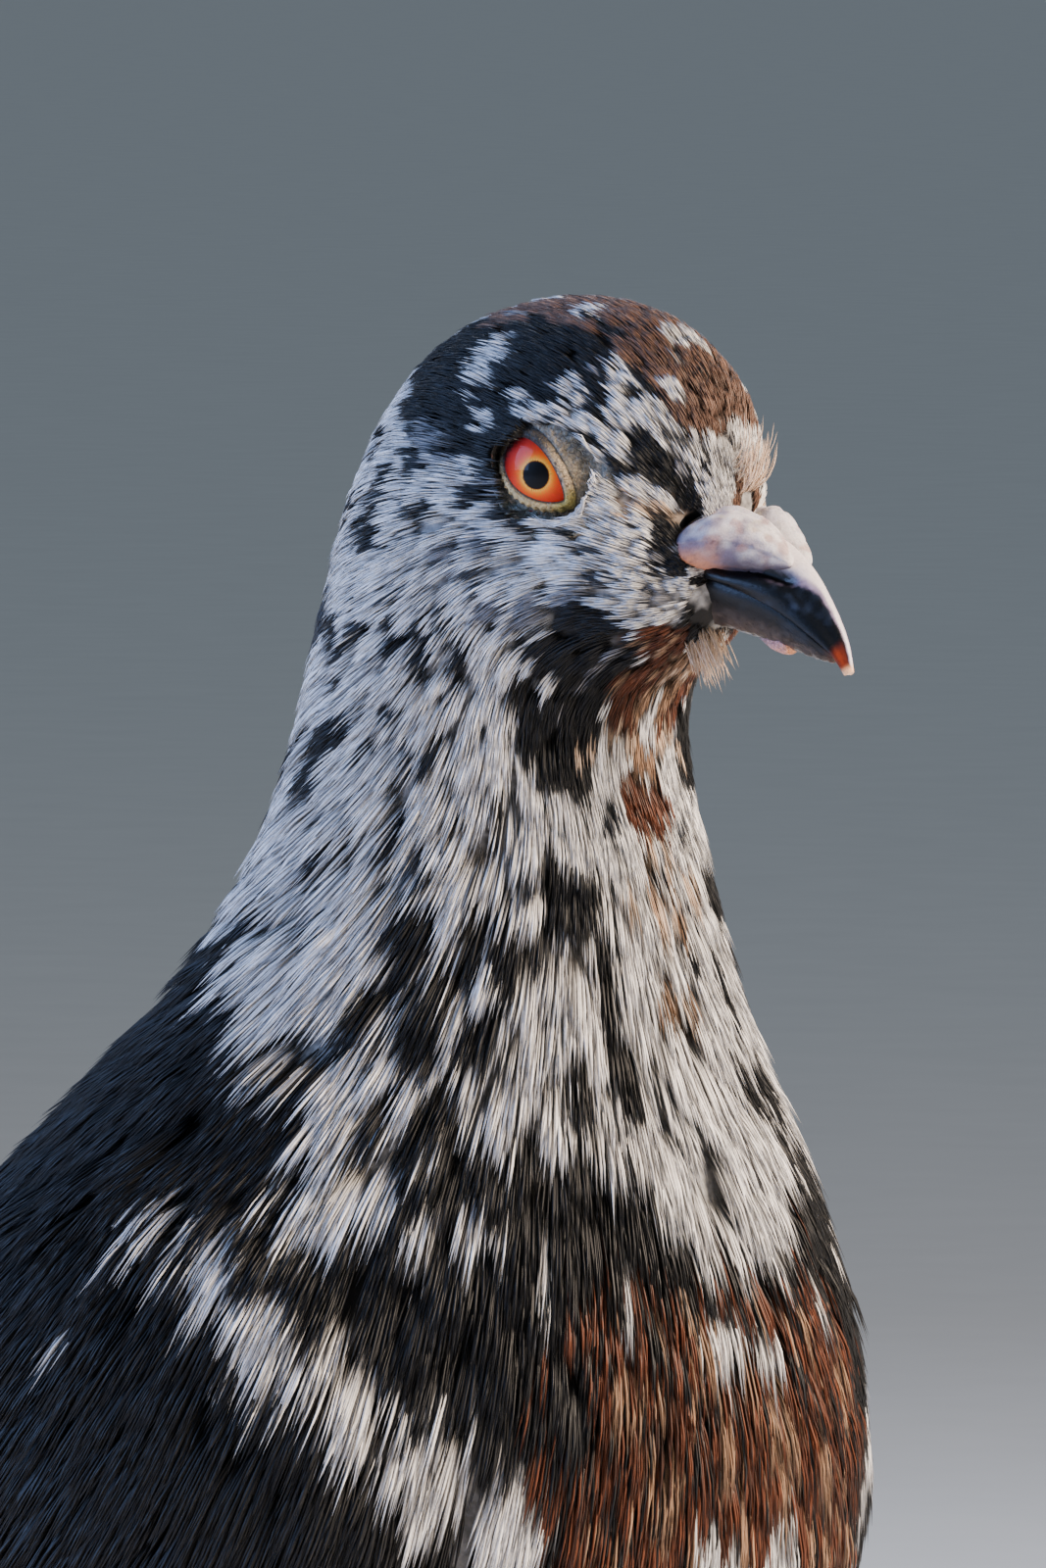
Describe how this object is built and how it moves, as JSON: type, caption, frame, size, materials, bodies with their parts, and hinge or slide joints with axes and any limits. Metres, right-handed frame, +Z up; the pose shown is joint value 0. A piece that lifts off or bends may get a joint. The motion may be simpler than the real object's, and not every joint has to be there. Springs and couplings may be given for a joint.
{
  "type": "pigeon",
  "caption": "Life-size still model of a pied feral pigeon standing alert on both feet, wings folded, head facing forward.",
  "frame": {"origin": "middle of the model's box, on the floor it stands on", "axes": "+X the way the pigeon faces, +Y its left side, +Z up"},
  "size_m": [0.246, 0.0932, 0.2263],
  "materials": {
    "plumage": "soft feathers, white and near-black in a splashed pattern, rusty brown at the breast and crown",
    "leg_skin": "scaly red skin, matt",
    "horn": "dark slate horn, satin, paler along the ridge and brown at the tip",
    "cere": "chalky pinkish-white skin, matt",
    "bare_skin": "beaded yellow-tan lid rim in grey-olive skin, matt",
    "eye": "wet gloss over a red iris with an orange ring and a black pupil"
  },
  "bodies": {
    "root": {"head": "plumage", "neck": "plumage", "trunk": "plumage", "tail": "plumage", "wing_left": "plumage", "wing_right": "plumage", "primaries_left": "plumage", "primaries_right": "plumage", "thigh_left": "plumage", "thigh_right": "plumage", "shank_left": "leg_skin", "toe_inner_left": "leg_skin", "toe_middle_left": "leg_skin", "toe_outer_left": "leg_skin", "toe_hind_left": "leg_skin", "claw_inner_left": "horn", "claw_middle_left": "horn", "claw_outer_left": "horn", "claw_hind_left": "horn", "eye_left": "eye", "eyelid_left": "bare_skin", "cere_left": "cere", "shank_right": "leg_skin", "toe_inner_right": "leg_skin", "toe_middle_right": "leg_skin", "toe_outer_right": "leg_skin", "toe_hind_right": "leg_skin", "claw_inner_right": "horn", "claw_middle_right": "horn", "claw_outer_right": "horn", "claw_hind_right": "horn", "eye_right": "eye", "eyelid_right": "bare_skin", "cere_right": "cere", "bill_upper": "horn", "bill_lower": "horn"}
  },
  "joints": []
}
